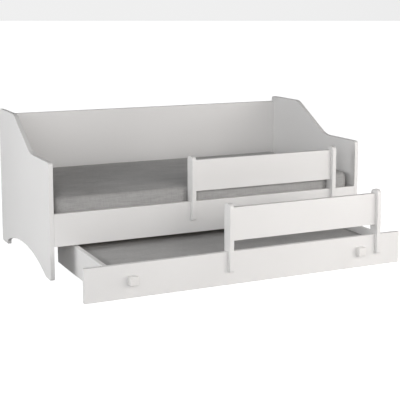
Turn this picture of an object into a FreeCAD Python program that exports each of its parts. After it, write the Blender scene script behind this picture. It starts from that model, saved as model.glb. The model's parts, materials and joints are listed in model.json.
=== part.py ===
import FreeCAD, Part
import os
import re
import Sketcher

"""Toddler bed with a trundle drawer and two hook-on guard rails.

The frame is in millimetres, +X to the right along the bed, +Y to the back and +Z up.
Z = 0 is the floor, and X = 0 is the middle of the bed. The drawer stands pulled out, and
Y = 0 is halfway between its knobs and the back of the bed.
"""

VECTOR = FreeCAD.Vector

SIZES = {
    # the bed's boards
    "bed_length": 1440,
    "bed_depth": 764,
    "board": 18,
    "half_board": 9,
    "front_plane": -198,
    "glide_height": 2,
    "back_corner_height": 613.5,
    "front_corner_height": 474.5,
    "step_depth": 261,
    "slope_depth": 514,
    "slope_radius": 80,
    "step_radius": 120,
    "corner_radius": 14,
    "foot_corner_radius": 10,
    "arch_front": 66,
    "arch_back": 672,
    "arch_centre": 397.5,
    "arch_radius": 820,
    "arch_back_radius": 18,
    "rail_bottom": 137.5,
    "rail_height": 132,
    "back_bottom": 138,
    "back_top": 589,
    # slats and the mattress on them
    "batten_bottom": 158,
    "batten_height": 30,
    "batten_width": 24,
    "slat_width": 70,
    "slat_thickness": 18,
    "slat_pitch": 140,
    "slat_margin": 2,
    "strap_width": 25,
    "strap_thickness": 1,
    "strap_inset": 60,
    "mattress_gap": 12,
    "mattress_front": 35,
    "mattress_depth": 700,
    "mattress_bottom": 208,
    "mattress_height": 118,
    "mattress_radius": 34,
    # fittings
    "cam_radius": 7.4,
    "cam_bore_radius": 7.5,
    "cam_height": 12,
    "cam_bore_depth": 12.5,
    "cam_recess": 0.25,
    "cam_inset": 34,
    "bolt_radius": 2.95,
    "bolt_bore_radius": 3.0,
    "bolt_slot_radius": 3.2,
    "bolt_depth": 12,
    "dowel_radius": 3.95,
    "dowel_bore_radius": 4.0,
    "dowel_depth": 12,
    "dowel_reach": 24,
    "bore_end": 1,
    "glide_radius": 8,
    "screw_radius": 2,
    "screw_head_radius": 4,
    "screw_head_height": 3,
    "screw_reach": 12,
    # guard rails
    "guard_left": -112,
    "guard_right": 591,
    "guard_lip": 17.8,
    "guard_slot": 18.4,
    "guard_depth": 50,
    "guard_clearance": 0.2,
    "guard_lip_length": 78,
    "guard_leg_length": 58,
    "guard_rise": 190,
    "guard_board_rise": 41.5,
    "guard_top_radius": 18,
    "guard_lip_radius": 6,
    # the drawer
    "pull_out": 344,
    "drawer_length": 1395,
    "drawer_bottom": 2,
    "box_half_length": 619,
    "box_bottom": 13,
    "box_height": 120,
    "box_depth": 558,
    "floor_bottom": 34,
    "floor_thickness": 8,
    "groove_depth": 5.5,
    "groove_height": 8.2,
    "groove_margin": 0.1,
    "floor_margin": 0.5,
    "floor_batten_width": 40,
    "floor_batten_height": 20,
    "drawer_mattress_gap": 7,
    "drawer_mattress_front": 17,
    "drawer_mattress_back": 6,
    "drawer_mattress_bottom": 43,
    "drawer_mattress_height": 69,
    "drawer_mattress_radius": 14,
    "knob_left": -510,
    "knob_right": 499,
    "knob_height": 72,
    "knob_size": 34,
    "knob_depth": 24,
    "knob_chamfer": 1.5,
    # castors
    "wheel_radius": 15,
    "wheel_width": 14,
    "wheel_bore_radius": 3.05,
    "axle_radius": 3.0,
    "axle_length": 22,
    "castor_inset": 30,
    "castor_end_inset": 50,
    "castor_gap": 15,
    "steel": 2,
    "castor_length": 36,
    "castor_cheek_bottom": 9,
}

SLATS = 10

doc = FreeCAD.newDocument("toddler_bed")
sheet = doc.addObject("Spreadsheet::Sheet", "Sizes")
for row, (alias, size) in enumerate(SIZES.items(), start=1):
    sheet.set(f"A{row}", alias)
    sheet.set(f"B{row}", str(size))
    sheet.setAlias(f"B{row}", alias)
doc.recompute()

NODES = []


# ---------------------------------------------------------------- helpers

def cells(text):
    """The expression with the sheet's name in front of each alias."""
    return re.sub(r"[a-z_]*[a-z][a-z_]*", r"Sizes.\g<0>", text)


def number(text):
    """The value of a sum of aliases and numbers, such as 'rail_bottom + 30'."""
    total = 0.0
    sign = 1.0
    for word in text.split():
        if word in ("+", "-"):
            sign = 1.0 if word == "+" else -1.0
        elif word in SIZES:
            total += sign * SIZES[word]
        else:
            total += sign * float(word)
    return total


def place(part, corner):
    """Bind a placement's base to three expressions."""
    for axis, text in zip("xyz", corner):
        part.setExpression(f"Placement.Base.{axis}", cells(text))


def node(part, label):
    """Name a finished sub-part and list it for export."""
    part.Label = label
    NODES.append(part)
    return part


def box(name, size, corner):
    """A box whose sizes and low corner are expressions."""
    part = doc.addObject("Part::Box", name)
    for prop, text in zip(("Length", "Width", "Height"), size):
        part.setExpression(prop, cells(text))
    place(part, corner)
    return part


TURNS = {
    "x": FreeCAD.Rotation(VECTOR(0, 1, 0), 90),
    "y": FreeCAD.Rotation(VECTOR(1, 0, 0), -90),
    "z": FreeCAD.Rotation(),
}


def cylinder(name, radius, length, start, axis):
    """A cylinder that runs from its start in the positive direction of an axis."""
    part = doc.addObject("Part::Cylinder", name)
    part.Placement = FreeCAD.Placement(VECTOR(), TURNS[axis])
    part.setExpression("Radius", cells(radius))
    part.setExpression("Height", cells(length))
    place(part, start)
    return part


def cone(name, low_radius, high_radius, length, start, axis):
    """A cone that runs from its start in the positive direction of an axis."""
    part = doc.addObject("Part::Cone", name)
    part.Placement = FreeCAD.Placement(VECTOR(), TURNS[axis])
    part.setExpression("Radius1", cells(low_radius))
    part.setExpression("Radius2", cells(high_radius))
    part.setExpression("Height", cells(length))
    place(part, start)
    return part


def fuse(name, pieces):
    part = doc.addObject("Part::MultiFuse", name)
    part.Shapes = pieces
    return part


def cut(name, base, tools):
    """The base less all the tools."""
    part = doc.addObject("Part::Cut", name)
    part.Base = base
    part.Tool = tools[0] if len(tools) == 1 else fuse(name + "_tools", tools)
    return part


def group(name, pieces):
    """Separate solids kept together as one sub-part."""
    part = doc.addObject("Part::Compound", name)
    part.Links = pieces
    return part


def sketch_on(body, name, role, offset=None):
    plane = next(item for item in body.Origin.OriginFeatures if item.Role == role)
    sketch = body.newObject("Sketcher::SketchObject", name)
    sketch.AttachmentSupport = [(plane, "")]
    sketch.MapMode = "FlatFace"
    if offset:
        sketch.setExpression("AttachmentOffset.Base.z", cells(offset))
    return sketch


def bind_point(sketch, curve, point, across, up):
    """Hold a point at two expressions, measured from the sketch's origin."""
    for kind, text, axis in (("DistanceX", across, -2), ("DistanceY", up, -1)):
        if text == "0":
            sketch.addConstraint(Sketcher.Constraint("PointOnObject", curve, point, axis))
        else:
            held = sketch.addConstraint(
                Sketcher.Constraint(kind, -1, 1, curve, point, number(text)))
            sketch.setExpression(f"Constraints[{held}]", cells(text))


def polygon(sketch, points):
    """A closed outline of straight lines through points given as expressions."""
    corners = [VECTOR(number(across), number(up), 0) for across, up in points]
    count = len(corners)
    for index in range(count):
        line = Part.LineSegment(corners[index], corners[(index + 1) % count])
        sketch.addGeometry(line)
    for index in range(count):
        after = (index + 1) % count
        sketch.addConstraint(Sketcher.Constraint("Coincident", index, 2, after, 1))
        bind_point(sketch, index, 1, *points[index])


def circles(sketch, radius, centres):
    for across, up in centres:
        middle = VECTOR(number(across), number(up), 0)
        circle = sketch.addGeometry(Part.Circle(middle, VECTOR(0, 0, 1), SIZES[radius]))
        held = sketch.addConstraint(Sketcher.Constraint("Radius", circle, SIZES[radius]))
        sketch.setExpression(f"Constraints[{held}]", cells(radius))
        bind_point(sketch, circle, 3, across, up)


def pad(body, sketch, length):
    feature = body.newObject("PartDesign::Pad", sketch.Name + "_pad")
    feature.Profile = sketch
    feature.setExpression("Length", cells(length))
    return feature


def pocket(body, sketch, depth, toward_normal=False):
    """Cut a sketch into the solid; depth None goes right through."""
    doc.recompute()
    before = body.Shape.Volume
    feature = body.newObject("PartDesign::Pocket", sketch.Name + "_pocket")
    feature.Profile = sketch
    feature.Reversed = toward_normal
    if depth is None:
        feature.Type = 1
    else:
        feature.setExpression("Length", cells(depth))
    doc.recompute()
    if body.Shape.Volume > before - 1:
        raise RuntimeError(f"{sketch.Name} cuts nothing")
    return feature


def round_edges(body, name, radius, places):
    """Round the edges along X that pass through the given Y and Z places."""
    doc.recompute()
    tip = body.Tip
    chosen = []
    for index, edge in enumerate(tip.Shape.Edges, start=1):
        bounds = edge.BoundBox
        if bounds.YLength > 0.01 or bounds.ZLength > 0.01:
            continue
        for across, up in places:
            if abs(bounds.YMin - number(across)) < 0.05 and abs(bounds.ZMin - up) < 0.05:
                chosen.append(f"Edge{index}")
    if len(chosen) != len(places):
        raise RuntimeError(f"{name} found {len(chosen)} edges")
    feature = body.newObject("PartDesign::Fillet", name)
    feature.Base = (tip, chosen)
    feature.setExpression("Radius", cells(radius))
    return feature


def mirrored(name, source, centre=0.0):
    """The same piece on the other side of the plane X = centre."""
    part = doc.addObject("Part::Mirroring", name)
    part.Source = source
    part.Normal = VECTOR(1, 0, 0)
    part.Base = VECTOR(centre, 0, 0)
    return part


def dowel(name, start, axis):
    """A wooden dowel that lies in two facing bores."""
    return cylinder(name, "dowel_radius", "dowel_depth + dowel_reach - bore_end", start, axis)


def screw(name, head_face, axis, toward_positive, length):
    """A countersunk wood screw whose head is flush with a face."""
    across = "xyz".index(axis)
    head_start = list(head_face)
    shank_start = list(head_face)
    if toward_positive:
        shank_start[across] += " + screw_head_height"
        head = cone(name + "_head", "screw_head_radius", "screw_radius",
                    "screw_head_height", head_start, axis)
    else:
        head_start[across] += " - screw_head_height"
        shank_start[across] += f" - ({length})"
        head = cone(name + "_head", "screw_radius", "screw_head_radius",
                    "screw_head_height", head_start, axis)
    shank = cylinder(name + "_shank", "screw_radius", f"{length} - screw_head_height",
                     shank_start, axis)
    return fuse(name, [head, shank])


# ---------------------------------------------------------------- the bed's boards

RAIL_CAMS = ["rail_bottom + 30", "rail_bottom + rail_height - 30"]
RAIL_DOWELS = ["rail_bottom + 66"]
BACK_CAMS = ["back_bottom + 60", "back_top - 60"]
BACK_DOWELS = ["back_bottom + 150", "back_top - 150"]
RAIL_MIDDLE = "half_board"
BACK_MIDDLE = "bed_depth - half_board"


def end_panel():
    """A board with a high back, a low front, and an arch between its two feet."""
    body = doc.addObject("PartDesign::Body", "left_end")
    outline = sketch_on(body, "end_outline", "YZ_Plane")
    polygon(outline, [
        ("0", "glide_height"),
        ("bed_depth", "glide_height"),
        ("bed_depth", "back_corner_height"),
        ("slope_depth", "back_corner_height"),
        ("step_depth", "front_corner_height"),
        ("0", "front_corner_height"),
    ])
    pad(body, outline, "board")
    add_arch(body)
    round_edges(body, "slope_round", "slope_radius",
                [("slope_depth", SIZES["back_corner_height"])])
    round_edges(body, "step_round", "step_radius",
                [("step_depth", SIZES["front_corner_height"])])
    round_edges(body, "corner_round", "corner_radius", [
        ("0", SIZES["front_corner_height"]),
        ("bed_depth", SIZES["back_corner_height"]),
    ])
    round_edges(body, "foot_round", "foot_corner_radius", [
        ("0", SIZES["glide_height"]),
        ("bed_depth", SIZES["glide_height"]),
    ])
    bolts = sketch_on(body, "bolt_holes", "YZ_Plane", "board")
    circles(bolts, "bolt_bore_radius",
            [(RAIL_MIDDLE, up) for up in RAIL_CAMS] + [(BACK_MIDDLE, up) for up in BACK_CAMS])
    pocket(body, bolts, "bolt_depth")
    dowels = sketch_on(body, "dowel_holes", "YZ_Plane", "board")
    circles(dowels, "dowel_bore_radius",
            [(RAIL_MIDDLE, up) for up in RAIL_DOWELS]
            + [(BACK_MIDDLE, up) for up in BACK_DOWELS])
    pocket(body, dowels, "dowel_depth")
    place(body, ("-bed_length / 2", "front_plane", "0"))
    return body


def add_arch(body):
    """Cut the arch: an arc that rises from the front foot, and a short upright at the back."""
    sketch = sketch_on(body, "arch", "YZ_Plane")
    radius = SIZES["arch_radius"]
    front = SIZES["arch_front"]
    back = SIZES["arch_back"]
    middle = SIZES["arch_centre"]
    centre_up = -(radius ** 2 - (middle - front) ** 2) ** 0.5
    back_up = centre_up + (radius ** 2 - (back - middle) ** 2) ** 0.5
    crown = VECTOR(middle, centre_up + radius, 0)
    sketch.addGeometry(Part.LineSegment(VECTOR(front, 0, 0), VECTOR(back, 0, 0)))
    sketch.addGeometry(Part.LineSegment(VECTOR(back, 0, 0), VECTOR(back, back_up, 0)))
    arc = Part.Arc(VECTOR(back, back_up, 0), crown, VECTOR(front, 0, 0))
    sketch.addGeometry(arc)
    sketch.addConstraint(Sketcher.Constraint("Coincident", 0, 2, 1, 1))
    sketch.addConstraint(Sketcher.Constraint("Coincident", 1, 2, 2, 1))
    sketch.addConstraint(Sketcher.Constraint("Coincident", 2, 2, 0, 1))
    sketch.addConstraint(Sketcher.Constraint("Vertical", 1))
    bind_point(sketch, 0, 1, "arch_front", "0")
    bind_point(sketch, 0, 2, "arch_back", "0")
    held = sketch.addConstraint(Sketcher.Constraint("Radius", 2, radius))
    sketch.setExpression(f"Constraints[{held}]", cells("arch_radius"))
    held = sketch.addConstraint(Sketcher.Constraint("DistanceX", -1, 1, 2, 3, middle))
    sketch.setExpression(f"Constraints[{held}]", cells("arch_centre"))
    pocket(body, sketch, None, toward_normal=True)
    round_edges(body, "arch_back_round", "arch_back_radius", [("arch_back", back_up)])


left_end_panel = node(end_panel(), "left_end_panel")
right_end_panel = node(mirrored("right_end", left_end_panel), "right_end_panel")

INNER_HALF = "bed_length / 2 - board"


def cam_across_end(name, side, middle, up, face):
    """The cam nut, its bolt and their bores, at one end of a board that meets an end panel.

    side is -1 at the left end and 1 at the right. face is the Y of the board's back face,
    which the cam nut sits in.
    """
    centre = f"{side} * ({INNER_HALF} - cam_inset)"
    reach = "cam_inset + bolt_depth - bore_end"
    if side < 0:
        bolt_start = f"-({INNER_HALF}) - bolt_depth + bore_end"
    else:
        bolt_start = f"{INNER_HALF} - cam_inset"
    bolt_place = (bolt_start, middle, up)
    body = cylinder(name + "_body", "cam_radius", "cam_height",
                    (centre, f"{face} - cam_height - cam_recess", up), "y")
    slot = cylinder(name + "_slot", "bolt_slot_radius", "cam_inset * 2",
                    (f"{centre} - cam_inset", middle, up), "x")
    nut = cut(name + "_nut", body, [slot])
    bolt = cylinder(name + "_bolt", "bolt_radius", reach, bolt_place, "x")
    bores = [
        cylinder(name + "_bore", "cam_bore_radius", "cam_bore_depth",
                 (centre, f"{face} - cam_bore_depth", up), "y"),
        cylinder(name + "_bolt_bore", "bolt_slot_radius", "cam_inset + 1",
                 (centre if side > 0 else f"-({INNER_HALF}) - 1", middle, up), "x"),
    ]
    return nut, bolt, bores


def board_between_ends(name, thick_start, low, height, cams, dowels):
    """A board between the end panels, with its cams and dowels."""
    base = box(name + "_board", ("bed_length - 2 * board", "board", height),
               (f"-({INNER_HALF})", thick_start, low))
    middle = f"{thick_start} + board / 2"
    face = f"{thick_start} + board"
    nuts, bolts, bores, pins = [], [], [], []
    for side in (-1, 1):
        end = "left" if side < 0 else "right"
        for index, up in enumerate(cams):
            nut, bolt, holes = cam_across_end(
                f"{name}_{end}_cam{index}", side, middle, up, face)
            nuts.append(nut)
            bolts.append(bolt)
            bores += holes
        for index, up in enumerate(dowels):
            pin_name = f"{name}_{end}_dowel{index}"
            if side < 0:
                start = f"-({INNER_HALF}) - dowel_depth + bore_end"
                hole = f"-({INNER_HALF}) - 1"
            else:
                start = f"{INNER_HALF} - dowel_reach"
                hole = f"{INNER_HALF} - dowel_reach"
            pins.append(dowel(pin_name, (start, middle, up), "x"))
            bores.append(cylinder(pin_name + "_bore", "dowel_bore_radius", "dowel_reach + 1",
                                  (hole, middle, up), "x"))
    return cut(name, base, bores), nuts, bolts, pins


rail, rail_nuts, rail_bolts, rail_pins = board_between_ends(
    "rail", "front_plane", "rail_bottom", "rail_height", RAIL_CAMS, RAIL_DOWELS)
back, back_nuts, back_bolts, back_pins = board_between_ends(
    "back", "front_plane + bed_depth - board", "back_bottom", "back_top - back_bottom",
    BACK_CAMS, BACK_DOWELS)
node(rail, "front_rail")
node(back, "back_panel")
node(group("bed_nuts", rail_nuts + back_nuts), "bed_cam_nuts")
node(group("bed_bolts", rail_bolts + back_bolts), "bed_cam_bolts")
node(group("bed_pins", rail_pins + back_pins), "bed_dowels")


def foot_glides():
    """A nailed-on disc under each of the four feet."""
    discs = []
    for side in (-1, 1):
        for depth in ("34", "bed_depth - 46"):
            discs.append(cylinder(
                f"glide{len(discs)}", "glide_radius", "glide_height",
                (f"{side} * (bed_length / 2 - board / 2)", f"front_plane + {depth}", "0"), "z"))
    return group("glides", discs)


node(foot_glides(), "foot_glides")


# ---------------------------------------------------------------- slats and mattress

FRONT_INSIDE = "front_plane + board"
BACK_INSIDE = "front_plane + bed_depth - board"
SLAT_BOTTOM = "batten_bottom + batten_height"
BATTEN_HALF = "(bed_length / 2 - board - 2)"

for label, depth in (("front_batten", FRONT_INSIDE),
                     ("back_batten", f"{BACK_INSIDE} - batten_width")):
    node(box(label, (f"2 * {BATTEN_HALF}", "batten_width", "batten_height"),
             (f"-{BATTEN_HALF}", depth, "batten_bottom")), label)

batten_screws = []
for index in range(5):
    across = f"-560 + {280 * index}"
    up = "batten_bottom + batten_height / 2"
    batten_screws.append(screw(
        f"front_batten_screw{index}", [across, f"{FRONT_INSIDE} + batten_width", up],
        "y", False, "batten_width + screw_reach"))
    batten_screws.append(screw(
        f"back_batten_screw{index}", [across, f"{BACK_INSIDE} - batten_width", up],
        "y", True, "batten_width + screw_reach"))
node(group("batten_screw_group", batten_screws), "batten_screws")

for index in range(SLATS):
    middle = f"({index} - {(SLATS - 1) / 2}) * slat_pitch"
    node(box(f"slat{index}", ("slat_width", "bed_depth - 2 * board - 2 * slat_margin",
                              "slat_thickness"),
             (f"{middle} - slat_width / 2", f"{FRONT_INSIDE} + slat_margin", SLAT_BOTTOM)),
         f"slat_{index + 1:02d}")

for label, depth in (("front_slat_strap", f"{FRONT_INSIDE} + strap_inset"),
                     ("back_slat_strap", f"{BACK_INSIDE} - strap_inset - strap_width")):
    node(box(label, (f"{SLATS - 1} * slat_pitch + slat_width", "strap_width",
                     "strap_thickness"),
             (f"-({SLATS - 1} * slat_pitch + slat_width) / 2", depth,
              f"{SLAT_BOTTOM} + slat_thickness")), label)

slat_screws = []
for side in (-1, 1):
    for depth in (f"{FRONT_INSIDE} + batten_width / 2", f"{BACK_INSIDE} - batten_width / 2"):
        slat_screws.append(screw(
            f"slat_screw{len(slat_screws)}",
            [f"{side} * {(SLATS - 1) / 2} * slat_pitch", depth,
             f"{SLAT_BOTTOM} + slat_thickness"],
            "z", False, "slat_thickness + screw_reach"))
node(group("slat_screw_group", slat_screws), "slat_screws")


def mattress(name, size, corner, radius):
    """A block of foam with every edge rounded."""
    block = box(name + "_block", size, corner)
    doc.recompute()
    part = doc.addObject("Part::Fillet", name)
    part.Base = block
    part.Edges = [(index, SIZES[radius], SIZES[radius])
                  for index in range(1, len(block.Shape.Edges) + 1)]
    return part


node(mattress("bed_foam", ("bed_length - 2 * board - 2 * mattress_gap", "mattress_depth",
                           "mattress_height"),
              ("-bed_length / 2 + board + mattress_gap", "front_plane + mattress_front",
               "mattress_bottom"), "mattress_radius"), "bed_mattress")


# ---------------------------------------------------------------- guard rails

POST_HEIGHT = "guard_lip_length + guard_rise"
SLOT_BACK = "guard_lip + guard_slot"
LEG_BOTTOM = "guard_lip_length - guard_leg_length"
BOARD_MIDDLE = "guard_lip + guard_clearance + half_board"
GUARD_DOWELS = ["guard_lip_length + guard_board_rise + 30",
                "guard_lip_length + guard_board_rise + 102"]


def guard_post(name, plane, seat):
    """A board on edge that hooks over a board 18 mm thick, by a lip and a shorter leg."""
    body = doc.addObject("PartDesign::Body", name)
    outline = sketch_on(body, name + "_outline", "YZ_Plane")
    polygon(outline, [
        ("0", "0"),
        ("guard_lip", "0"),
        ("guard_lip", "guard_lip_length"),
        (SLOT_BACK, "guard_lip_length"),
        (SLOT_BACK, LEG_BOTTOM),
        ("guard_depth", LEG_BOTTOM),
        ("guard_depth", POST_HEIGHT),
        ("0", POST_HEIGHT),
    ])
    pad(body, outline, "board")
    round_edges(body, name + "_top", "guard_top_radius",
                [("0", number(POST_HEIGHT)), ("guard_depth", number(POST_HEIGHT))])
    round_edges(body, name + "_lip", "guard_lip_radius",
                [("0", 0), ("guard_depth", number(LEG_BOTTOM))])
    holes = sketch_on(body, name + "_holes", "YZ_Plane", "board")
    circles(holes, "dowel_bore_radius", [(BOARD_MIDDLE, up) for up in GUARD_DOWELS])
    pocket(body, holes, "dowel_depth")
    place(body, ("guard_left", f"{plane} - guard_lip - guard_clearance",
                 f"{seat} + guard_clearance - guard_lip_length"))
    return body


def guard(name, plane, seat):
    """A guard that hooks over the board whose front face is at plane and top at seat."""
    left = node(guard_post(name + "_post", plane, seat), f"{name}_post_left")
    middle = (SIZES["guard_left"] + SIZES["guard_right"]) / 2
    node(mirrored(name + "_post_mirror", left, middle), f"{name}_post_right")
    low = f"{seat} + guard_clearance + guard_board_rise"
    base = box(name + "_panel",
               ("guard_right - guard_left - 2 * board", "board", "rail_height"),
               ("guard_left + board", plane, low))
    bores, pins = [], []
    for side, start, hole in (
            ("left", "guard_left + board - dowel_depth + bore_end", "guard_left + board - 1"),
            ("right", "guard_right - board - dowel_reach", "guard_right - board - dowel_reach")):
        for rise in (30, 102):
            pin = f"{name}_{side}_dowel{rise}"
            up = f"{low} + {rise}"
            pins.append(dowel(pin, (start, f"{plane} + board / 2", up), "x"))
            bores.append(cylinder(pin + "_bore", "dowel_bore_radius", "dowel_reach + 1",
                                  (hole, f"{plane} + board / 2", up), "x"))
    node(cut(name + "_cut", base, bores), f"{name}_board")
    node(group(name + "_pins", pins), f"{name}_dowels")


DRAWER_PLANE = "front_plane - pull_out"
guard("upper_guard", "front_plane", "rail_bottom + rail_height")
guard("lower_guard", DRAWER_PLANE, "drawer_bottom + rail_height")


# ---------------------------------------------------------------- the drawer

FRONT_BACK = f"{DRAWER_PLANE} + board"
BOX_INNER = "box_half_length - board"
BOX_BACK = f"{FRONT_BACK} + box_depth"
DRAWER_CAMS = [62, 108]
DRAWER_DOWEL = 86


def side_cam(name, side, up):
    """A cam nut in a drawer side, with its bolt into the drawer front, and their bores."""
    centre_y = f"{FRONT_BACK} + cam_inset"
    middle = f"{side} * (box_half_length - board / 2)"
    if side < 0:
        nut_start = f"-({BOX_INNER}) - cam_height - cam_recess"
        bore_start = f"-({BOX_INNER}) - cam_bore_depth"
    else:
        nut_start = f"{BOX_INNER} + cam_recess"
        bore_start = BOX_INNER
    body = cylinder(name + "_body", "cam_radius", "cam_height",
                    (nut_start, centre_y, up), "x")
    slot = cylinder(name + "_slot", "bolt_slot_radius", "cam_inset * 2",
                    (middle, f"{centre_y} - cam_inset", up), "y")
    nut = cut(name + "_nut", body, [slot])
    bolt = cylinder(name + "_bolt", "bolt_radius", "cam_inset + bolt_depth - bore_end",
                    (middle, f"{FRONT_BACK} - bolt_depth + bore_end", up), "y")
    bores = [
        cylinder(name + "_bore", "cam_bore_radius", "cam_bore_depth",
                 (bore_start, centre_y, up), "x"),
        cylinder(name + "_bolt_bore", "bolt_slot_radius", "cam_inset + 1",
                 (middle, f"{FRONT_BACK} - 1", up), "y"),
    ]
    front_bore = cylinder(name + "_front_bore", "bolt_bore_radius", "bolt_depth",
                          (middle, f"{FRONT_BACK} - bolt_depth", up), "y")
    return nut, bolt, bores, front_bore


def drawer_sides():
    """Both sides with their fittings; returns the bores that the front needs."""
    nuts, bolts, pins, front_bores = [], [], [], []
    for side in (-1, 1):
        end = "left" if side < 0 else "right"
        outer = "-box_half_length" if side < 0 else BOX_INNER
        middle = f"{side} * (box_half_length - board / 2)"
        base = box(f"side_{end}_board", ("board", "box_depth", "box_height"),
                   (outer, FRONT_BACK, "box_bottom"))
        groove_x = f"-({BOX_INNER}) - groove_depth" if side < 0 else BOX_INNER
        tools = [box(f"side_{end}_groove", ("groove_depth", "box_depth", "groove_height"),
                     (groove_x, FRONT_BACK, "floor_bottom - groove_margin"))]
        for index, up in enumerate(DRAWER_CAMS):
            nut, bolt, bores, front_bore = side_cam(f"side_{end}_cam{index}", side, str(up))
            nuts.append(nut)
            bolts.append(bolt)
            tools += bores
            front_bores.append(front_bore)
        pins.append(dowel(f"side_{end}_dowel",
                          (middle, f"{FRONT_BACK} - dowel_depth + bore_end",
                           str(DRAWER_DOWEL)), "y"))
        tools.append(cylinder(f"side_{end}_dowel_bore", "dowel_bore_radius",
                              "dowel_reach + 1",
                              (middle, f"{FRONT_BACK} - 1", str(DRAWER_DOWEL)), "y"))
        front_bores.append(cylinder(f"front_{end}_dowel_bore", "dowel_bore_radius",
                                    "dowel_depth",
                                    (middle, f"{FRONT_BACK} - dowel_depth",
                                     str(DRAWER_DOWEL)), "y"))
        node(cut(f"side_{end}", base, tools), f"drawer_side_{end}")
    node(group("drawer_nuts", nuts), "drawer_cam_nuts")
    node(group("drawer_bolts", bolts), "drawer_cam_bolts")
    node(group("drawer_pins", pins), "drawer_dowels")
    return front_bores


def drawer_front(front_bores):
    base = box("front_board", ("drawer_length", "board", "rail_height"),
               ("-drawer_length / 2", DRAWER_PLANE, "drawer_bottom"))
    groove = box("front_groove",
                 (f"2 * ({BOX_INNER} + groove_depth)", "groove_depth", "groove_height"),
                 (f"-({BOX_INNER} + groove_depth)", f"{FRONT_BACK} - groove_depth",
                  "floor_bottom - groove_margin"))
    holes = [cylinder(f"knob_hole_{alias}", "screw_radius", "board + 2",
                      (alias, f"{DRAWER_PLANE} - 1", "knob_height"), "y")
             for alias in ("knob_left", "knob_right")]
    node(cut("front", base, [groove] + holes + front_bores), "drawer_front")


def drawer_back():
    base = box("back_board", (f"2 * ({BOX_INNER})", "board", "box_height"),
               (f"-({BOX_INNER})", f"{BOX_BACK} - board", "box_bottom"))
    groove = box("back_groove", (f"2 * ({BOX_INNER})", "groove_depth", "groove_height"),
                 (f"-({BOX_INNER})", f"{BOX_BACK} - board", "floor_bottom - groove_margin"))
    node(cut("back_cut", base, [groove]), "drawer_back")
    screws = []
    for side in (-1, 1):
        head = "-box_half_length" if side < 0 else "box_half_length"
        for up in (60, 108):
            screws.append(screw(f"corner_screw{len(screws)}",
                                [head, f"{BOX_BACK} - board / 2", str(up)],
                                "x", side < 0, "board + 30"))
    node(group("corner_screws", screws), "drawer_corner_screws")


def drawer_floor():
    """The thin bottom in its grooves, and the batten that stiffens it."""
    node(box("floor", (f"2 * ({BOX_INNER} + groove_depth - floor_margin)",
                       "box_depth - board + 2 * groove_depth - 2 * floor_margin",
                       "floor_thickness"),
             (f"-({BOX_INNER} + groove_depth - floor_margin)",
              f"{FRONT_BACK} - groove_depth + floor_margin", "floor_bottom")), "drawer_bottom")
    node(box("floor_batten", ("floor_batten_width", "box_depth - board",
                              "floor_batten_height"),
             ("-floor_batten_width / 2", FRONT_BACK, "floor_bottom - floor_batten_height")),
         "drawer_bottom_batten")


def knobs():
    """Two square knobs, each held by a screw from inside the drawer front."""
    screws = []
    for alias in ("knob_left", "knob_right"):
        block = box(alias + "_block", ("knob_size", "knob_depth", "knob_size"),
                    (f"{alias} - knob_size / 2", f"{DRAWER_PLANE} - knob_depth",
                     "knob_height - knob_size / 2"))
        doc.recompute()
        shaped = doc.addObject("Part::Chamfer", alias + "_shaped")
        shaped.Base = block
        front = block.Shape.BoundBox.YMin
        shaped.Edges = [(index, SIZES["knob_chamfer"], SIZES["knob_chamfer"])
                        for index, edge in enumerate(block.Shape.Edges, start=1)
                        if edge.BoundBox.YMax < front + 0.01]
        hole = cylinder(alias + "_bore", "screw_radius", "screw_reach + 1",
                        (alias, f"{DRAWER_PLANE} - screw_reach", "knob_height"), "y")
        side = alias.replace("knob_", "")
        node(cut(alias + "_cut", shaped, [hole]), f"drawer_knob_{side}")
        shank = cylinder(alias + "_shank", "screw_radius - 0.05", "screw_reach + board - 1",
                         (alias, f"{DRAWER_PLANE} - screw_reach + 1", "knob_height"), "y")
        head = cylinder(alias + "_head", "screw_head_radius", "2",
                        (alias, FRONT_BACK, "knob_height"), "y")
        screws.append(fuse(alias + "_screw", [head, shank]))
    node(group("knob_screw_group", screws), "drawer_knob_screws")


drawer_front(drawer_sides())
drawer_back()
drawer_floor()
knobs()
node(mattress("drawer_foam",
              (f"2 * ({BOX_INNER} - drawer_mattress_gap)",
               "box_depth - board - drawer_mattress_front - drawer_mattress_back",
               "drawer_mattress_height"),
              (f"-({BOX_INNER} - drawer_mattress_gap)",
               f"{FRONT_BACK} + drawer_mattress_front", "drawer_mattress_bottom"),
              "drawer_mattress_radius"), "drawer_mattress")


# ---------------------------------------------------------------- castors

def castor(name, across, depth):
    """A fixed castor: a folded steel fork, its axle and a wheel that turns about X."""
    top = "floor_bottom - steel"
    plate = box(name + "_plate", ("castor_gap + 2 * steel", "castor_length", "steel"),
                (f"{across} - castor_gap / 2 - steel", f"{depth} - castor_length / 2", top))
    cheeks = [box(f"{name}_cheek{index}",
                  ("steel", "castor_length / 2", f"{top} - castor_cheek_bottom"),
                  (f"{across} {offset}", f"{depth} - castor_length / 4",
                   "castor_cheek_bottom"))
              for index, offset in enumerate(("- castor_gap / 2 - steel",
                                              "+ castor_gap / 2"))]
    hole = cylinder(name + "_hole", "axle_radius", "castor_gap + 2 * steel + 2",
                    (f"{across} - castor_gap / 2 - steel - 1", depth, "wheel_radius"), "x")
    node(cut(name + "_fork", fuse(name + "_folded", [plate] + cheeks), [hole]),
         f"castor_fork_{name}")
    rim = cylinder(name + "_rim", "wheel_radius", "wheel_width",
                   (f"{across} - wheel_width / 2", depth, "wheel_radius"), "x")
    bore = cylinder(name + "_bore", "wheel_bore_radius", "wheel_width + 2",
                    (f"{across} - wheel_width / 2 - 1", depth, "wheel_radius"), "x")
    node(cut(name + "_wheel", rim, [bore]), f"castor_wheel_{name}")
    return cylinder(name + "_axle", "axle_radius", "axle_length",
                    (f"{across} - axle_length / 2", depth, "wheel_radius"), "x")


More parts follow.
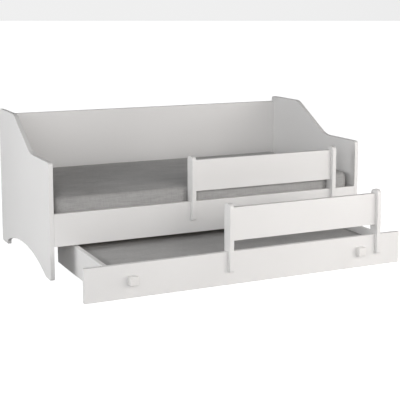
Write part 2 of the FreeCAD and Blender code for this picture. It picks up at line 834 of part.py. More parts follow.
axles = []
for end, across in (("left", f"-({BOX_INNER} - castor_inset)"),
                    ("right", f"{BOX_INNER} - castor_inset")):
    for place_name, depth in (("front", f"{FRONT_BACK} + castor_end_inset"),
                              ("back", f"{BOX_BACK} - board - castor_end_inset")):
        axles.append(castor(f"{place_name}_{end}", across, depth))
node(group("axle_group", axles), "castor_axles")


# ---------------------------------------------------------------- checks and export

doc.recompute()
for part in doc.Objects:
    if "Invalid" in part.State or "Error" in part.State:
        raise RuntimeError(f"{part.Label} failed: {part.State}")
for part in NODES:
    if part.Shape.isNull() or not part.Shape.isValid():
        raise RuntimeError(f"{part.Label} has no valid shape")

os.makedirs("parts", exist_ok=True)
for part in NODES:
    part.Shape.exportStep(f"parts/{part.Label}.step")
print(len(NODES), "sub-parts written")
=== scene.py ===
"""The looks of a toddler bed with a trundle drawer, two mattresses and two hook-on guard rails.

Everything is in metres in the model's own frame: X along the bed, Y to the back, and Z up from
the floor.
"""
import json
import math

import bpy
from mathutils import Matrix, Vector, noise


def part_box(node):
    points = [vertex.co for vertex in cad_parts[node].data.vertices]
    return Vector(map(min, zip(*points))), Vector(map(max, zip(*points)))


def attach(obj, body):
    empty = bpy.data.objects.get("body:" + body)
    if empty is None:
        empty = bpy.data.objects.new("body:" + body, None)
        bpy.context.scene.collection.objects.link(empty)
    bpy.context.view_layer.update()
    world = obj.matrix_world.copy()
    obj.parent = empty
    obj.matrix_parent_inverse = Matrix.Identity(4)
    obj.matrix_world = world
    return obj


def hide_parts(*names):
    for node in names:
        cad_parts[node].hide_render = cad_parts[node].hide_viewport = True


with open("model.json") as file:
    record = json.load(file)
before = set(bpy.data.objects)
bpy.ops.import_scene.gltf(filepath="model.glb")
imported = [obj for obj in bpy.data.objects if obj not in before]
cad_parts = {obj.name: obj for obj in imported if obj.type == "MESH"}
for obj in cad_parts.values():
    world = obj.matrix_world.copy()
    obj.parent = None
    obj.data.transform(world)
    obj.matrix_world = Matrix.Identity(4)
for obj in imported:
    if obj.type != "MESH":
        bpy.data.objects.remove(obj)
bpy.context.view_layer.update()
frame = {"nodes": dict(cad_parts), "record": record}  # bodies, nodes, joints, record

NODES = frame["nodes"]
MM = 0.001

# ---------------------------------------------------------------- shader expressions


class Wire:
    """An output socket. Sums and products of wires add their own Math nodes."""

    def __init__(self, nodes, socket):
        self.nodes = nodes
        self.socket = socket

    def __add__(self, other):
        return self.nodes.maths("ADD", self, other)

    def __sub__(self, other):
        return self.nodes.maths("SUBTRACT", self, other)

    def __mul__(self, other):
        return self.nodes.maths("MULTIPLY", self, other)

    def __truediv__(self, other):
        return self.nodes.maths("DIVIDE", self, other)

    def __pow__(self, other):
        return self.nodes.maths("POWER", self, other)

    def __abs__(self):
        return self.nodes.maths("ABSOLUTE", self)

    __radd__ = __add__
    __rmul__ = __mul__


class Nodes:
    """A node tree that is written as expressions."""

    def __init__(self, tree):
        self.tree = tree
        tree.nodes.clear()

    def node(self, kind, settings=(), inputs=(), output=0):
        """Adds a node: its settings are set first, then its sockets get values or wires."""
        made = self.tree.nodes.new(kind)
        for name, value in dict(settings).items():
            if name == "stops":
                self.set_stops(made.color_ramp, value)
            else:
                setattr(made, name, value)
        for name, value in dict(inputs).items():
            if isinstance(value, Wire):
                self.tree.links.new(value.socket, made.inputs[name])
            else:
                made.inputs[name].default_value = value
        return Wire(self, made.outputs[output]) if made.outputs else None

    def set_stops(self, ramp, stops):
        while len(ramp.elements) < len(stops):
            ramp.elements.new(1.0)
        for element, (position, shade) in zip(ramp.elements, stops):
            element.position = position
            element.color = (shade, shade, shade, 1.0)

    def maths(self, operation, *values):
        """One Math node."""
        return self.node("ShaderNodeMath", {"operation": operation}, dict(enumerate(values)))

    def ramp(self, share, *stops):
        """A share passed through grey stops, each a position and a value."""
        return self.node("ShaderNodeValToRGB", {"stops": stops}, {"Fac": share})

    def split(self, vector):
        """The X, Y and Z of a vector."""
        first = self.node("ShaderNodeSeparateXYZ", inputs={0: vector})
        return [Wire(self, socket) for socket in first.socket.node.outputs]


class Finish(Nodes):
    """A material whose patterns lie in its piece's own coordinates."""

    def __init__(self, name):
        self.material = bpy.data.materials.new(name)
        self.material.use_nodes = True
        super().__init__(self.material.node_tree)
        self.place = self.node("ShaderNodeTexCoord", output="Object")
        self.facing = self.node("ShaderNodeTexCoord", output="Normal")

    def noise(self, sizes, detail=2.0, roughness=0.5, seed=0.0):
        """Noise whose blobs are so many metres long along X, Y and Z."""
        scaled = self.node("ShaderNodeVectorMath", {"operation": "DIVIDE"},
                           {0: self.place, 1: sizes})
        return self.node("ShaderNodeTexNoise", {"noise_dimensions": "4D"},
                         {"Vector": scaled, "W": seed, "Scale": 1.0, "Detail": detail,
                          "Roughness": roughness})

    def mixed(self, share, first, second):
        """A colour between two colours."""
        return self.node("ShaderNodeMix", {"data_type": "RGBA"},
                         {0: share, 6: first, 7: second}, output=2)

    def surface(self, colour, roughness, height=None, depth=0.2 * MM, **fixed):
        """Ends the material with its shader. fixed are sockets that are the same all over."""
        sockets = {"Base Color": colour, "Roughness": roughness}
        sockets.update({name.replace("_", " "): value for name, value in fixed.items()})
        if height is not None:
            sockets["Normal"] = self.node("ShaderNodeBump", inputs={
                "Strength": 1.0, "Distance": depth, "Height": height})
        shader = self.node("ShaderNodeBsdfPrincipled", inputs=sockets)
        self.node("ShaderNodeOutputMaterial", inputs={"Surface": shader})
        return self.material


def shade(red, green=None, blue=None):
    """A colour from one grey or three channels, in linear light."""
    return (red, green if green is not None else red, blue if blue is not None else red, 1.0)


# ---------------------------------------------------------------- finishes


def melamine(name, light, dark, gloss=0.42):
    """White laminated board: a faint drift of tone, and a fine pearl grain that can be felt."""
    f = Finish(name)
    drift = f.noise((0.5, 0.5, 0.5), detail=1.0)
    pearl = f.noise((1.6 * MM, 1.6 * MM, 1.6 * MM), detail=2.0)
    smudge = f.noise((90 * MM, 60 * MM, 60 * MM), detail=3.0, seed=4.0)
    colour = f.mixed(f.ramp(drift * 0.8 + pearl * 0.2, (0.35, 0.0), (0.65, 1.0)), light, dark)
    return f.surface(colour, gloss + smudge * 0.1 - 0.05 + pearl * 0.06, pearl, 0.02 * MM,
                     Specular_IOR_Level=0.5)


def edge_band():
    """The plastic band on a board's edge, rubbed a little glossier and greyer along its corner."""
    f = Finish("edge_band")
    rub = f.noise((40 * MM, 40 * MM, 40 * MM), detail=4.0, roughness=0.7)
    colour = f.mixed(f.ramp(rub, (0.4, 0.0), (0.7, 1.0)), shade(0.80, 0.795, 0.785),
                     shade(0.70, 0.69, 0.68))
    return f.surface(colour, 0.3 + rub * 0.15, rub, 0.02 * MM)


def weave(f, pitch):
    """The height of a plain weave, laid on each side of a block by the way that side faces."""
    x, y, z = f.split(f.place)
    turns = 2 * math.pi / pitch
    across = [f.maths("SINE", value * turns) for value in (x, y, z)]
    sides = [abs(value) ** 3.0 for value in f.split(f.facing)]
    total = sides[0] + sides[1] + sides[2]
    crossed = (sides[0] * across[1] * across[2] + sides[1] * across[0] * across[2]
               + sides[2] * across[0] * across[1])
    return crossed / total * 0.5 + 0.5


def cover_cloth(name, light, dark):
    """Grey melange cloth: slubs along the bed, soft blotches and a coarse weave."""
    f = Finish(name)
    slub = f.noise((55 * MM, 3 * MM, 3 * MM), detail=2.0)
    cross_slub = f.noise((3 * MM, 30 * MM, 30 * MM), detail=2.0, seed=2.0)
    blotch = f.noise((110 * MM, 60 * MM, 60 * MM), detail=3.0, seed=5.0)
    thread = weave(f, 3.2 * MM)
    mixture = slub * 0.38 + cross_slub * 0.22 + blotch * 0.28 + thread * 0.12
    colour = f.mixed(f.ramp(mixture, (0.37, 0.0), (0.63, 1.0)), dark, light)
    fuzz = f.noise((1.2 * MM, 1.2 * MM, 1.2 * MM), detail=2.0, seed=7.0)
    return f.surface(colour, 0.86 + slub * 0.1, thread * 0.7 + fuzz * 0.3, 0.25 * MM,
                     Sheen_Weight=0.15, Sheen_Roughness=0.5, Specular_IOR_Level=0.25)


def wood(name, along, light, dark, rings=14 * MM):
    """Sanded wood whose grain runs along one axis."""
    f = Finish(name)

    def stretched(across, length):
        sizes = [across] * 3
        sizes["XYZ".index(along)] = length
        return sizes

    wander = f.noise(stretched(45 * MM, 0.9), detail=2.0)
    year = f.maths("SINE", wander * (2 * math.pi * 45 * MM / rings * 2.4)) * 0.5 + 0.5
    fibre = f.noise(stretched(1.1 * MM, 60 * MM), detail=2.0, seed=3.0)
    patch = f.noise(stretched(120 * MM, 0.5), detail=1.0, seed=9.0)
    mixture = (year ** 2.0) * 0.5 + fibre * 0.3 + patch * 0.2
    colour = f.mixed(f.ramp(mixture, (0.2, 0.0), (0.8, 1.0)), light, dark)
    return f.surface(colour, 0.55 + fibre * 0.2, fibre, 0.08 * MM)


def zinc_steel():
    """Zinc-plated steel with a faint brushed variation."""
    f = Finish("zinc_steel")
    brush = f.noise((0.6 * MM, 12 * MM, 12 * MM), detail=3.0)
    bloom = f.noise((14 * MM, 14 * MM, 14 * MM), detail=2.0, seed=3.0)
    colour = f.mixed(bloom, shade(0.62, 0.63, 0.65), shade(0.48, 0.49, 0.5))
    return f.surface(colour, 0.28 + brush * 0.18, brush, 0.03 * MM, Metallic=1.0)


def moulded(name, light, dark, gloss):
    """Moulded plastic with a fine spark-eroded texture."""
    f = Finish(name)
    grain = f.noise((0.7 * MM, 0.7 * MM, 0.7 * MM), detail=2.0)
    tone = f.noise((12 * MM, 12 * MM, 12 * MM), detail=2.0, seed=2.0)
    return f.surface(f.mixed(tone, light, dark), gloss + grain * 0.12, grain, 0.04 * MM)


def knob_lacquer():
    """White lacquer on wood, with the grain just showing through."""
    f = Finish("knob_lacquer")
    grain = f.noise((9 * MM, 2 * MM, 1.2 * MM), detail=3.0)
    colour = f.mixed(f.ramp(grain, (0.4, 0.0), (0.75, 1.0)), shade(0.83, 0.82, 0.81),
                     shade(0.77, 0.76, 0.745))
    return f.surface(colour, 0.34 + grain * 0.08, grain, 0.05 * MM)


def hardboard():
    """Thin hardboard: white above, bare brown fibre below and on its edges."""
    f = Finish("hardboard")
    up = f.split(f.facing)[2]
    fibre = f.noise((5 * MM, 5 * MM, 1 * MM), detail=4.0, roughness=0.7)
    brown = f.mixed(f.ramp(fibre, (0.3, 0.0), (0.7, 1.0)), shade(0.33, 0.2, 0.11),
                    shade(0.22, 0.12, 0.06))
    white = f.mixed(fibre, shade(0.8, 0.79, 0.78), shade(0.76, 0.75, 0.74))
    return f.surface(f.mixed(f.maths("GREATER_THAN", up, 0.5), brown, white),
                     0.5 + fibre * 0.2, fibre, 0.05 * MM)


def webbing():
    """Woven tape: ribs across it and a fine weave."""
    f = Finish("strap_webbing")
    x, y, z = f.split(f.place)
    ribs = f.maths("SINE", x * (2 * math.pi / (2.4 * MM))) * 0.5 + 0.5
    rows = f.maths("SINE", y * (2 * math.pi / (1.3 * MM))) * 0.5 + 0.5
    fuzz = f.noise((2 * MM, 2 * MM, 2 * MM), detail=2.0)
    colour = f.mixed(ribs * 0.6 + fuzz * 0.4, shade(0.5, 0.49, 0.46), shade(0.66, 0.65, 0.62))
    return f.surface(colour, 0.8 + fuzz * 0.1, ribs * 0.6 + rows * 0.4, 0.2 * MM)


FINISHES = {
    "white_board": melamine("white_board", shade(0.82, 0.815, 0.81), shade(0.78, 0.775, 0.77)),
    "white_hardboard": hardboard(),
    "pine": wood("pine", "Y", shade(0.72, 0.53, 0.32), shade(0.55, 0.34, 0.16)),
    "beech": wood("beech", "X", shade(0.62, 0.43, 0.27), shade(0.5, 0.32, 0.19), 6 * MM),
    "zinc_steel": zinc_steel(),
    "castor_plastic": moulded("castor_plastic", shade(0.045), shade(0.03), 0.42),
    "glide_plastic": moulded("glide_plastic", shade(0.7, 0.69, 0.67), shade(0.62, 0.61, 0.59), 0.4),
    "knob_paint": knob_lacquer(),
    "strap_webbing": webbing(),
    "bed_mattress_cover": cover_cloth("bed_cover", shade(0.45, 0.446, 0.442),
                                      shade(0.3, 0.298, 0.296)),
    "drawer_mattress_cover": cover_cloth("drawer_cover", shade(0.43, 0.426, 0.422),
                                         shade(0.32, 0.317, 0.315)),
}
BATTEN_PINE = wood("batten_pine", "X", shade(0.72, 0.53, 0.32), shade(0.55, 0.34, 0.16))
EDGE_BAND = edge_band()

# ---------------------------------------------------------------- modelling helpers


def only(piece):
    """Makes one object the only one selected, and active."""
    bpy.ops.object.select_all(action="DESELECT")
    piece.select_set(True)
    bpy.context.view_layer.objects.active = piece


def apply_all(piece):
    """Applies the object's modifiers, and puts its place and size into its mesh."""
    only(piece)
    for modifier in list(piece.modifiers):
        bpy.ops.object.modifier_apply(modifier=modifier.name)
    bpy.ops.object.transform_apply(location=True, rotation=True, scale=True)


def corners_of(node):
    """The lowest and the highest corner of a CAD piece's box."""
    low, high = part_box(node)
    return Vector(low), Vector(high)


def select_faces(piece, chosen):
    """Goes into edit mode with only the faces selected whose centre and normal pass a test."""
    only(piece)
    bpy.ops.object.mode_set(mode="EDIT")
    bpy.ops.mesh.select_mode(type="FACE")
    bpy.ops.mesh.select_all(action="DESELECT")
    bpy.ops.object.mode_set(mode="OBJECT")
    for face in piece.data.polygons:
        face.select = bool(chosen(face.center, face.normal))
    bpy.ops.object.mode_set(mode="EDIT")


def finish_piece(piece, body, slot, material, *replaced):
    """Gives a modelled piece its material and its body, and hides the CAD pieces that it stands
    for.
    """
    piece.data.materials.clear()
    piece.data.materials.append(material)
    only(piece)
    bpy.ops.object.shade_smooth()
    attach(piece, body)
    if replaced:
        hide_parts(*replaced)


# ---------------------------------------------------------------- CAD boards and fittings

EASED = {"white_board": 1.0 * MM, "pine": 2.0 * MM, "knob_paint": 1.2 * MM}
BATTENS = ("front_batten", "back_batten", "drawer_bottom_batten")


def ease_edges(piece, width):
    """Rounds a board's sharp edges a little, in the finish of its edge band."""
    weld = piece.modifiers.new("weld", "WELD")
    weld.merge_threshold = 0.01 * MM
    whole = piece.modifiers.new("whole_faces", "DECIMATE")
    whole.decimate_type = "DISSOLVE"
    whole.angle_limit = math.radians(0.5)
    bevel = piece.modifiers.new("eased", "BEVEL")
    bevel.width = width
    bevel.segments = 2
    bevel.limit_method = "ANGLE"
    bevel.angle_limit = math.radians(50)
    bevel.use_clamp_overlap = False
    if len(piece.data.materials) > 1:
        bevel.material = 1
    piece.modifiers.new("even_shading", "WEIGHTED_NORMAL")


def dress_cad():
    """Gives each CAD sub-part its finish, and eases the edges of those that show."""
    for row in frame["record"]["subparts"]:
        piece = NODES[row["node"]]
        slot = row["material_slot"]
        material = FINISHES[slot]
        if row["node"] in BATTENS:
            material = BATTEN_PINE
        piece.data.materials.clear()
        piece.data.materials.append(material)
        if slot in EASED:
            if slot == "white_board":
                piece.data.materials.append(EDGE_BAND)
            ease_edges(piece, EASED[slot])


dress_cad()

# ---------------------------------------------------------------- mattresses

SEAM_SHARE = 1 - math.sqrt(0.5)  # how far in the seam lies on a rounded edge, in radii
PRESSURE = 4.0  # of the foam against its cover, in the cloth simulation
CLOTH_FRAMES = 20
PIPING = 2.4 * MM
SLACK = 1.6 * MM  # depth of the cover's random hollows

RAIL_GAP = 1.2 * MM  # between the front rail and the bed mattress
LEG_GAP = 1.5 * MM  # between a leg of the upper guard and the dent that it makes
DENT_REACH = 30 * MM  # how far to each side a dent fades out
MATTRESS_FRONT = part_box("front_rail")[1].y + RAIL_GAP
GUARD_LEGS = [corners_of(f"upper_guard_post_{side}") for side in ("left", "right")]


def foam_block(name, low, high, radius, voxel):
    """A closed block with rounded edges, in even small faces."""
    bpy.ops.object.select_all(action="DESELECT")
    bpy.ops.mesh.primitive_cube_add(size=1, location=(low + high) / 2, scale=high - low)
    block = bpy.context.active_object
    block.name = name
    apply_all(block)
    bpy.ops.object.mode_set(mode="EDIT")
    bpy.ops.mesh.select_all(action="SELECT")
    bpy.ops.mesh.bevel(offset=radius, segments=6, affect="EDGES")
    bpy.ops.object.mode_set(mode="OBJECT")
    block.data.remesh_voxel_size = voxel
    bpy.ops.object.voxel_remesh()
    return block


def near_seam(point, low, high, radius, reach):
    """Whether a point is beside the seam that runs round the top or the bottom."""
    inset = radius * SEAM_SHARE
    rise = min(abs(point.z - (low.z + inset)), abs(point.z - (high.z - inset)))
    across = min(point.x - low.x, high.x - point.x, point.y - low.y, high.y - point.y)
    return rise < reach and across < radius * 0.6


def swell(block, low, high, radius, most):
    """Lets the cover swell between its seams, moving no point further than most."""
    only(block)
    rest = [vertex.co.copy() for vertex in block.data.vertices]
    held = block.vertex_groups.new(name="seams")
    reach = block.data.remesh_voxel_size * 0.75
    held.add([index for index, point in enumerate(rest)
              if near_seam(point, low, high, radius, reach)], 1.0, "REPLACE")
    cloth = block.modifiers.new("cover", "CLOTH")
    cloth.settings.use_pressure = True
    cloth.settings.uniform_pressure_force = PRESSURE
    cloth.settings.vertex_group_mass = held.name
    cloth.settings.effector_weights.gravity = 0.0
    cloth.point_cache.frame_start = 1
    cloth.point_cache.frame_end = CLOTH_FRAMES
    for number in range(1, CLOTH_FRAMES + 1):
        bpy.context.scene.frame_set(number)
    bpy.ops.object.modifier_apply(modifier=cloth.name)
    for vertex, start in zip(block.data.vertices, rest):
        moved = vertex.co - start
        if moved.length > most:
            vertex.co = start + moved * (most / moved.length)
    block.vertex_groups.clear()
    bpy.context.scene.frame_set(1)


def subdivide(block):
    """Smooths the block with one level of subdivision."""
    smoother = block.modifiers.new("smooth", "SUBSURF")
    smoother.levels = 1
    smoother.render_levels = 1
    bpy.ops.object.modifier_apply(modifier=smoother.name)


def slack(block, depth):
    """Shallow random hollows in the cover, the same on each run."""
    starts = [(vertex.co.copy(), vertex.normal.copy()) for vertex in block.data.vertices]
    for vertex, (point, outward) in zip(block.data.vertices, starts):
        wave = noise.noise(Vector((point.x * 7, point.y * 11, point.z * 9)))
        ripple = noise.noise(Vector((point.x * 26, point.y * 40, point.z * 30)))
        vertex.co = point + outward * depth * (0.75 * wave + 0.25 * ripple - 0.5)


def piping(name, low, high, radius, height, push, body, slot):
    """The piped seam round a mattress at one height."""
    inset = radius * SEAM_SHARE
    bpy.ops.object.select_all(action="DESELECT")
    centre = Vector(((low.x + high.x) / 2, (low.y + high.y) / 2, height))
    bpy.ops.mesh.primitive_plane_add(size=1, location=centre)
    loop = bpy.context.active_object
    loop.name = name
    loop.scale = (high.x - low.x - 2 * inset, high.y - low.y - 2 * inset, 1)
    apply_all(loop)
    bpy.ops.object.mode_set(mode="EDIT")
    bpy.ops.mesh.select_all(action="SELECT")
    bpy.ops.mesh.bevel(offset=radius - inset, segments=6, affect="VERTICES")
    bpy.ops.mesh.delete(type="ONLY_FACE")
    bpy.ops.object.mode_set(mode="OBJECT")
    divide_long_edges(loop, 8 * MM)
    for vertex in loop.data.vertices:
        vertex.co = push(vertex.co, PIPING / 2)
    only(loop)
    bpy.ops.object.convert(target="CURVE")
    loop.data.bevel_depth = PIPING / 2
    loop.data.bevel_resolution = 3
    bpy.ops.object.convert(target="MESH")
    finish_piece(loop, body, slot, FINISHES[slot])


def divide_long_edges(loop, longest):
    """Cuts the straight edges of a loop into short ones."""
    for _ in range(12):
        bpy.ops.object.mode_set(mode="EDIT")
        bpy.ops.mesh.select_all(action="DESELECT")
        bpy.ops.object.mode_set(mode="OBJECT")
        points = [vertex.co for vertex in loop.data.vertices]
        long_edges = [edge for edge in loop.data.edges
                      if (points[edge.vertices[0]] - points[edge.vertices[1]]).length > longest]
        if not long_edges:
            return
        for edge in long_edges:
            edge.select = True
        bpy.ops.object.mode_set(mode="EDIT")
        bpy.ops.mesh.subdivide(number_cuts=1)
        bpy.ops.object.mode_set(mode="OBJECT")


def mattress(name, body, slot, low, high, radius, voxel, crown, push, replaced):
    """A foam mattress in a sewn cover: low and high are the corners of the space it fills.

    It starts smaller by crown all round, and may swell by that much. push moves a point, with
    some thickness round it, clear of what the mattress touches.
    """
    start = Vector((crown, crown, crown))
    block = foam_block(name, low + start, high - start, radius - crown, voxel)
    swell(block, low + start, high - start, radius, crown)
    subdivide(block)
    slack(block, SLACK)
    for vertex in block.data.vertices:
        point = push(vertex.co.copy(), 0.0)
        point.z = max(point.z, low.z)
        vertex.co = point
    finish_piece(block, body, slot, FINISHES[slot], replaced)
    inset = radius * SEAM_SHARE + crown * 0.5
    for level, height in (("top", high.z - inset), ("bottom", low.z + inset)):
        piping(f"{name}_{level}_piping", low, high, radius, height, push, body, slot)


def clear_of_legs(point, thickness):
    """Pushes a point of the bed mattress back from the rail and from the guard's two legs."""
    front = MATTRESS_FRONT + thickness
    point.y = max(point.y, front)
    for low, high in GUARD_LEGS:
        middle = (low.x + high.x) / 2
        flat = (high.x - low.x) / 2 + 3 * MM
        away = min(max((abs(point.x - middle) - flat) / DENT_REACH, 0.0), 1.0)
        released = away * away * (3 - 2 * away)
        pressed = high.y + LEG_GAP + thickness
        point.y = max(point.y, pressed + (front - pressed) * released)
    return point


def stay(point, thickness):
    """Leaves a point of the drawer mattress where it is: nothing presses into it."""
    return point


def mattresses():
    """The bed mattress, taller than its CAD block and against the rail, and the drawer's."""
    low, high = corners_of("bed_mattress")
    low.y = MATTRESS_FRONT
    high.z += 14 * MM
    mattress("bed_mattress_cover", "bed", "bed_mattress_cover", low, high, radius=38 * MM,
             voxel=10 * MM, crown=4 * MM, push=clear_of_legs, replaced="bed_mattress")
    low, high = corners_of("drawer_mattress")
    mattress("drawer_mattress_cover", "drawer", "drawer_mattress_cover", low, high,
             radius=18 * MM, voxel=7 * MM, crown=3 * MM, push=stay, replaced="drawer_mattress")


mattresses()

# ---------------------------------------------------------------- castor wheels

SMOOTH_ANGLE = math.radians(35)

TREAD_ROUND = 1.6 * MM
RIM = 1.4 * MM
WEB_DEPTH = 1.8 * MM  # how far the web is sunk between the rim and the hub
WEB_WIDTH = 5.2 * MM
RIM_SLOPE = 0.5 * MM
HUB_SLOPE = 0.4 * MM
AXLE_BORE = 3.05 * MM
POCKETS = 6
POCKET_FROM = 7 * MM  # the radii that a pocket in the web lies between
POCKET_TO = 10.5 * MM
POCKET_DEPTH = 0.8 * MM
RIB_ANGLE = 15  # degrees of web left between two pockets


def round_bar(name, centre, radius, length, axis, sides=48):
    """A solid bar along X or Y, ready to be shaped."""
    turn = (0, math.pi / 2, 0) if axis == "X" else (math.pi / 2, 0, 0)
    bpy.ops.object.select_all(action="DESELECT")
    bpy.ops.mesh.primitive_cylinder_add(vertices=sides, radius=radius, depth=length,
                                        location=centre, rotation=turn)
    bar = bpy.context.active_object
    bar.name = name
    apply_all(bar)
    return bar


def castor_wheel(place):
    """A moulded wheel: rounded tread, sunk web with six pockets, and a hub round the axle."""
    node = f"castor_wheel_{place}"
    low, high = corners_of(node)
    centre = (low + high) / 2
    radius = (high.z - low.z) / 2
    wheel = round_bar(f"moulded_wheel_{place}", centre, radius, high.x - low.x, "X")
    select_faces(wheel, lambda at, normal: abs(normal.x) > 0.9)
    bpy.ops.mesh.region_to_loop()
    bpy.ops.mesh.bevel(offset=TREAD_ROUND, segments=3, affect="EDGES")
    bpy.ops.object.mode_set(mode="OBJECT")
    select_faces(wheel, lambda at, normal: abs(normal.x) > 0.99)
    bpy.ops.mesh.inset(thickness=RIM)
    bpy.ops.mesh.inset(thickness=RIM_SLOPE, depth=-WEB_DEPTH)
    bpy.ops.mesh.inset(thickness=WEB_WIDTH)
    bpy.ops.mesh.inset(thickness=HUB_SLOPE, depth=WEB_DEPTH)
    hub = radius - (TREAD_ROUND + RIM + RIM_SLOPE + WEB_WIDTH + HUB_SLOPE)
    bpy.ops.mesh.inset(thickness=hub - AXLE_BORE)
    bpy.ops.mesh.bridge_edge_loops()
    bpy.ops.object.mode_set(mode="OBJECT")

    def in_pocket(at, normal):
        away = math.hypot(at.y - centre.y, at.z - centre.z)
        turn = math.degrees(math.atan2(at.z - centre.z, at.y - centre.y)) % (360 / POCKETS)
        return abs(normal.x) > 0.9 and POCKET_FROM < away < POCKET_TO and turn > RIB_ANGLE

    select_faces(wheel, in_pocket)
    bpy.ops.mesh.inset(thickness=0.3 * MM, depth=-POCKET_DEPTH)
    bpy.ops.object.mode_set(mode="OBJECT")
    finish_piece(wheel, node, "castor_plastic", FINISHES["castor_plastic"], node)
    bpy.ops.object.shade_smooth_by_angle(angle=SMOOTH_ANGLE)


for place in ("front_left", "front_right", "back_left", "back_right"):
    castor_wheel(place)

# ---------------------------------------------------------------- cam nuts

CAM_RADIUS = 7.4 * MM
CAM_HEIGHT = 12 * MM
CAM_INSET = 34 * MM  # from a board's end to the middle of its cams
CAM_RECESS = 0.25 * MM  # how far a cam lies under the board's face
CROSS_WIDTH = 1.5 * MM
CROSS_LENGTH = CAM_RADIUS * 1.15
CROSS_BAR_HEIGHT = 3.2 * MM
DISH_DEPTH = 0.4 * MM


def cam_nut(face_centre, axis, outward):
    """A cast cam nut with a cross for the screwdriver and a rounded rim, on its outer face."""
    along = "XYZ".index(axis)
    centre = face_centre.copy()
    centre[along] -= outward * (CAM_RECESS + CAM_HEIGHT / 2)
    nut = round_bar("cam", centre, CAM_RADIUS, CAM_HEIGHT, axis, sides=40)

    def outer(at, normal):
        return normal[along] * outward > 0.99

    select_faces(nut, outer)
    bpy.ops.mesh.region_to_loop()
    bpy.ops.mesh.bevel(offset=0.5 * MM, segments=2, affect="EDGES")
    bpy.ops.object.mode_set(mode="OBJECT")
    select_faces(nut, outer)
    bpy.ops.mesh.inset(thickness=1.1 * MM)
    bpy.ops.mesh.inset(thickness=0.2 * MM, depth=-DISH_DEPTH)
    bpy.ops.object.mode_set(mode="OBJECT")
    dish = centre.copy()
    dish[along] += outward * (CAM_HEIGHT / 2 - DISH_DEPTH)
    for across in (index for index in range(3) if index != along):
        cut_groove(nut, dish, along, across)
    return nut


def cut_groove(nut, centre, along, across):
    """Cuts one groove of the screwdriver's cross out of a nut, with a bar that is then removed."""
    sizes = [CROSS_WIDTH] * 3
    sizes[across] = CROSS_LENGTH
    sizes[along] = CROSS_BAR_HEIGHT
    bpy.ops.object.select_all(action="DESELECT")
    bpy.ops.mesh.primitive_cube_add(size=1, location=centre, scale=sizes)
    bar = bpy.context.active_object
    apply_all(bar)
    cutter = nut.modifiers.new("cross", "BOOLEAN")
    cutter.object = bar
    cutter.operation = "DIFFERENCE"
    only(nut)
    bpy.ops.object.modifier_apply(modifier=cutter.name)
    bpy.data.objects.remove(bar)


def join_cams(name, body, nuts, replaced):
    """Makes one zinc piece of several cam nuts."""
    bpy.ops.object.select_all(action="DESELECT")
    for nut in nuts:
        nut.select_set(True)
    bpy.context.view_layer.objects.active = nuts[0]
    bpy.ops.object.join()
    nuts[0].name = name
    finish_piece(nuts[0], body, "zinc_steel", FINISHES["zinc_steel"], replaced)
    bpy.ops.object.shade_smooth_by_angle(angle=SMOOTH_ANGLE)


def bed_cams():
    """The cams in the back faces of the rail and of the back panel."""
    nuts = []
    for board, from_edge in (("front_rail", 30 * MM), ("back_panel", 60 * MM)):
        low, high = corners_of(board)
        nuts += [cam_nut(Vector((side, high.y, up)), "Y", 1)
                 for side in (low.x + CAM_INSET, high.x - CAM_INSET)
                 for up in (low.z + from_edge, high.z - from_edge)]
    join_cams("bed_cross_cams", "bed", nuts, "bed_cam_nuts")


def drawer_cams():
    """The cams in the inner faces of the drawer's sides."""
    nuts = []
    for board, outward in (("drawer_side_left", 1), ("drawer_side_right", -1)):
        low, high = corners_of(board)
        face = high.x if outward > 0 else low.x
        nuts += [cam_nut(Vector((face, low.y + CAM_INSET, up)), "X", outward)
                 for up in (62 * MM, 108 * MM)]
    join_cams("drawer_cross_cams", "drawer", nuts, "drawer_cam_nuts")


bed_cams()
drawer_cams()

# ---------------------------------------------------------------- camera, floor and light


CAMERA_PLACE = (-1.7939, -3.8441, 1.0890)
CAMERA_DOWN = 7.946  # degrees below level
CAMERA_TURN = 25.318  # degrees to the right of straight at the bed's front
CAMERA_SHIFT = -0.15
FOCAL_SHARE = 2.45325  # the focal length over the width of the sensor
SENSOR = 36  # mm


def camera():
    """The camera stands at the left of the bed's front, and looks slightly down."""
    bpy.ops.object.camera_add(location=CAMERA_PLACE)
    eye = bpy.context.active_object
    eye.rotation_euler = (math.radians(90 - CAMERA_DOWN), 0, math.radians(-CAMERA_TURN))
    eye.data.sensor_width = SENSOR
    eye.data.lens = FOCAL_SHARE * SENSOR
    eye.data.shift_y = CAMERA_SHIFT
    eye.data.clip_end = 60
    bpy.context.scene.camera = eye


FLOOR_SIZE = 200


def floor():
    """A white ground for the camera, over a pale one that sends light back up to the bed."""
    for name, glow, height in (("floor", 1.0, 0.0), ("bounce_floor", 0.0, -1 * MM)):
        bpy.ops.mesh.primitive_plane_add(size=FLOOR_SIZE, location=(0, 0, height))
        ground = bpy.context.active_object
        ground.name = name
        seen = glow > 0
        ground.visible_camera = seen
        ground.visible_diffuse = ground.visible_glossy = ground.visible_shadow = not seen
        f = Finish("pale_" + name)
        drift = f.noise((2.0, 2.0, 2.0), detail=1.0)
        colour = f.mixed(drift, shade(0.62), shade(0.6))
        ground.data.materials.append(f.surface(
            colour, 0.9 + drift * 0.02, Emission_Color=f.mixed(drift, shade(1.0), shade(0.98)),
            Emission_Strength=glow))


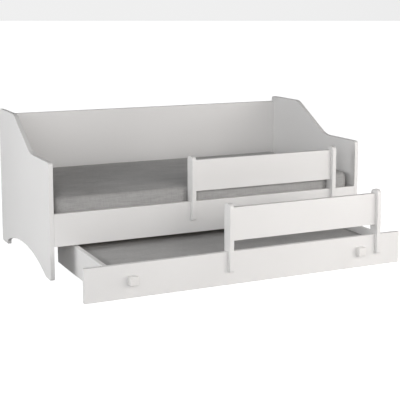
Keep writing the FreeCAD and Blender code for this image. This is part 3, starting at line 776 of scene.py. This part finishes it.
def softbox(name, place, aim, size, power, colour):
    """A square area light: size in metres, power in watts."""
    bpy.ops.object.light_add(type="AREA", location=place)
    lamp = bpy.context.active_object
    lamp.name = name
    lamp.data.shape = "SQUARE"
    lamp.data.size = size
    lamp.data.energy = power
    lamp.data.color = colour
    lamp.rotation_euler = (Vector(aim) - Vector(place)).to_track_quat("-Z", "Y").to_euler()


WARM = (1.0, 0.965, 0.935)
WHITE = (1.0, 1.0, 1.0)
SOFTBOXES = (  # name, place, what it is aimed at, size, power and colour
    ("front_softbox", (0.7, -2.8, 1.2), (0.0, -0.2, 0.25), 1.4, 22, WARM),
    ("front_left_softbox", (-1.6, -2.7, 1.3), (0.0, -0.2, 0.25), 1.4, 26, WHITE),
    ("front_right_softbox", (1.9, -2.3, 0.85), (0.5, -0.2, 0.25), 1.2, 20, WARM),
    ("left_softbox", (-2.9, 0.0, 1.15), (-0.7, 0.1, 0.45), 1.5, 36, WHITE),
    ("right_softbox", (2.6, -0.9, 0.7), (0.6, -0.2, 0.3), 1.2, 13, WHITE),
)


def light_room():
    """Soft boxes close in front and at the left, in a dim room that is paler behind the bed."""
    world = bpy.data.worlds.new("studio")
    bpy.context.scene.world = world
    world.use_nodes = True
    room = Nodes(world.node_tree)
    way = room.node("ShaderNodeTexCoord", output="Generated")
    up = room.split(way)[2]

    def from_side(x, y, swing, even, *fall):
        """The glow of one side of the room: strongest toward x and y, and fading with height."""
        toward = room.node("ShaderNodeVectorMath", {"operation": "DOT_PRODUCT"},
                           {0: way, 1: (x, y, 0.0)}, output="Value")
        return room.maths("MAXIMUM", even + swing * toward, 0.0) * room.ramp(up, *fall)

    front = from_side(-0.85, -0.53, 0.33, 0.26, (0.2, 0.8), (0.45, 1.0), (0.66, 0.1), (0.75, 0.0))
    behind = from_side(0.4, 0.9, 1.1, 0.0, (0.2, 1.0), (0.6, 0.2), (0.8, 0.0))
    background = room.node("ShaderNodeBackground", inputs={"Strength": front + behind})
    room.node("ShaderNodeOutputWorld", inputs={"Surface": background})
    for box in SOFTBOXES:
        softbox(*box)


bpy.context.scene.view_settings.view_transform = "Standard"
camera()
floor()
light_room()
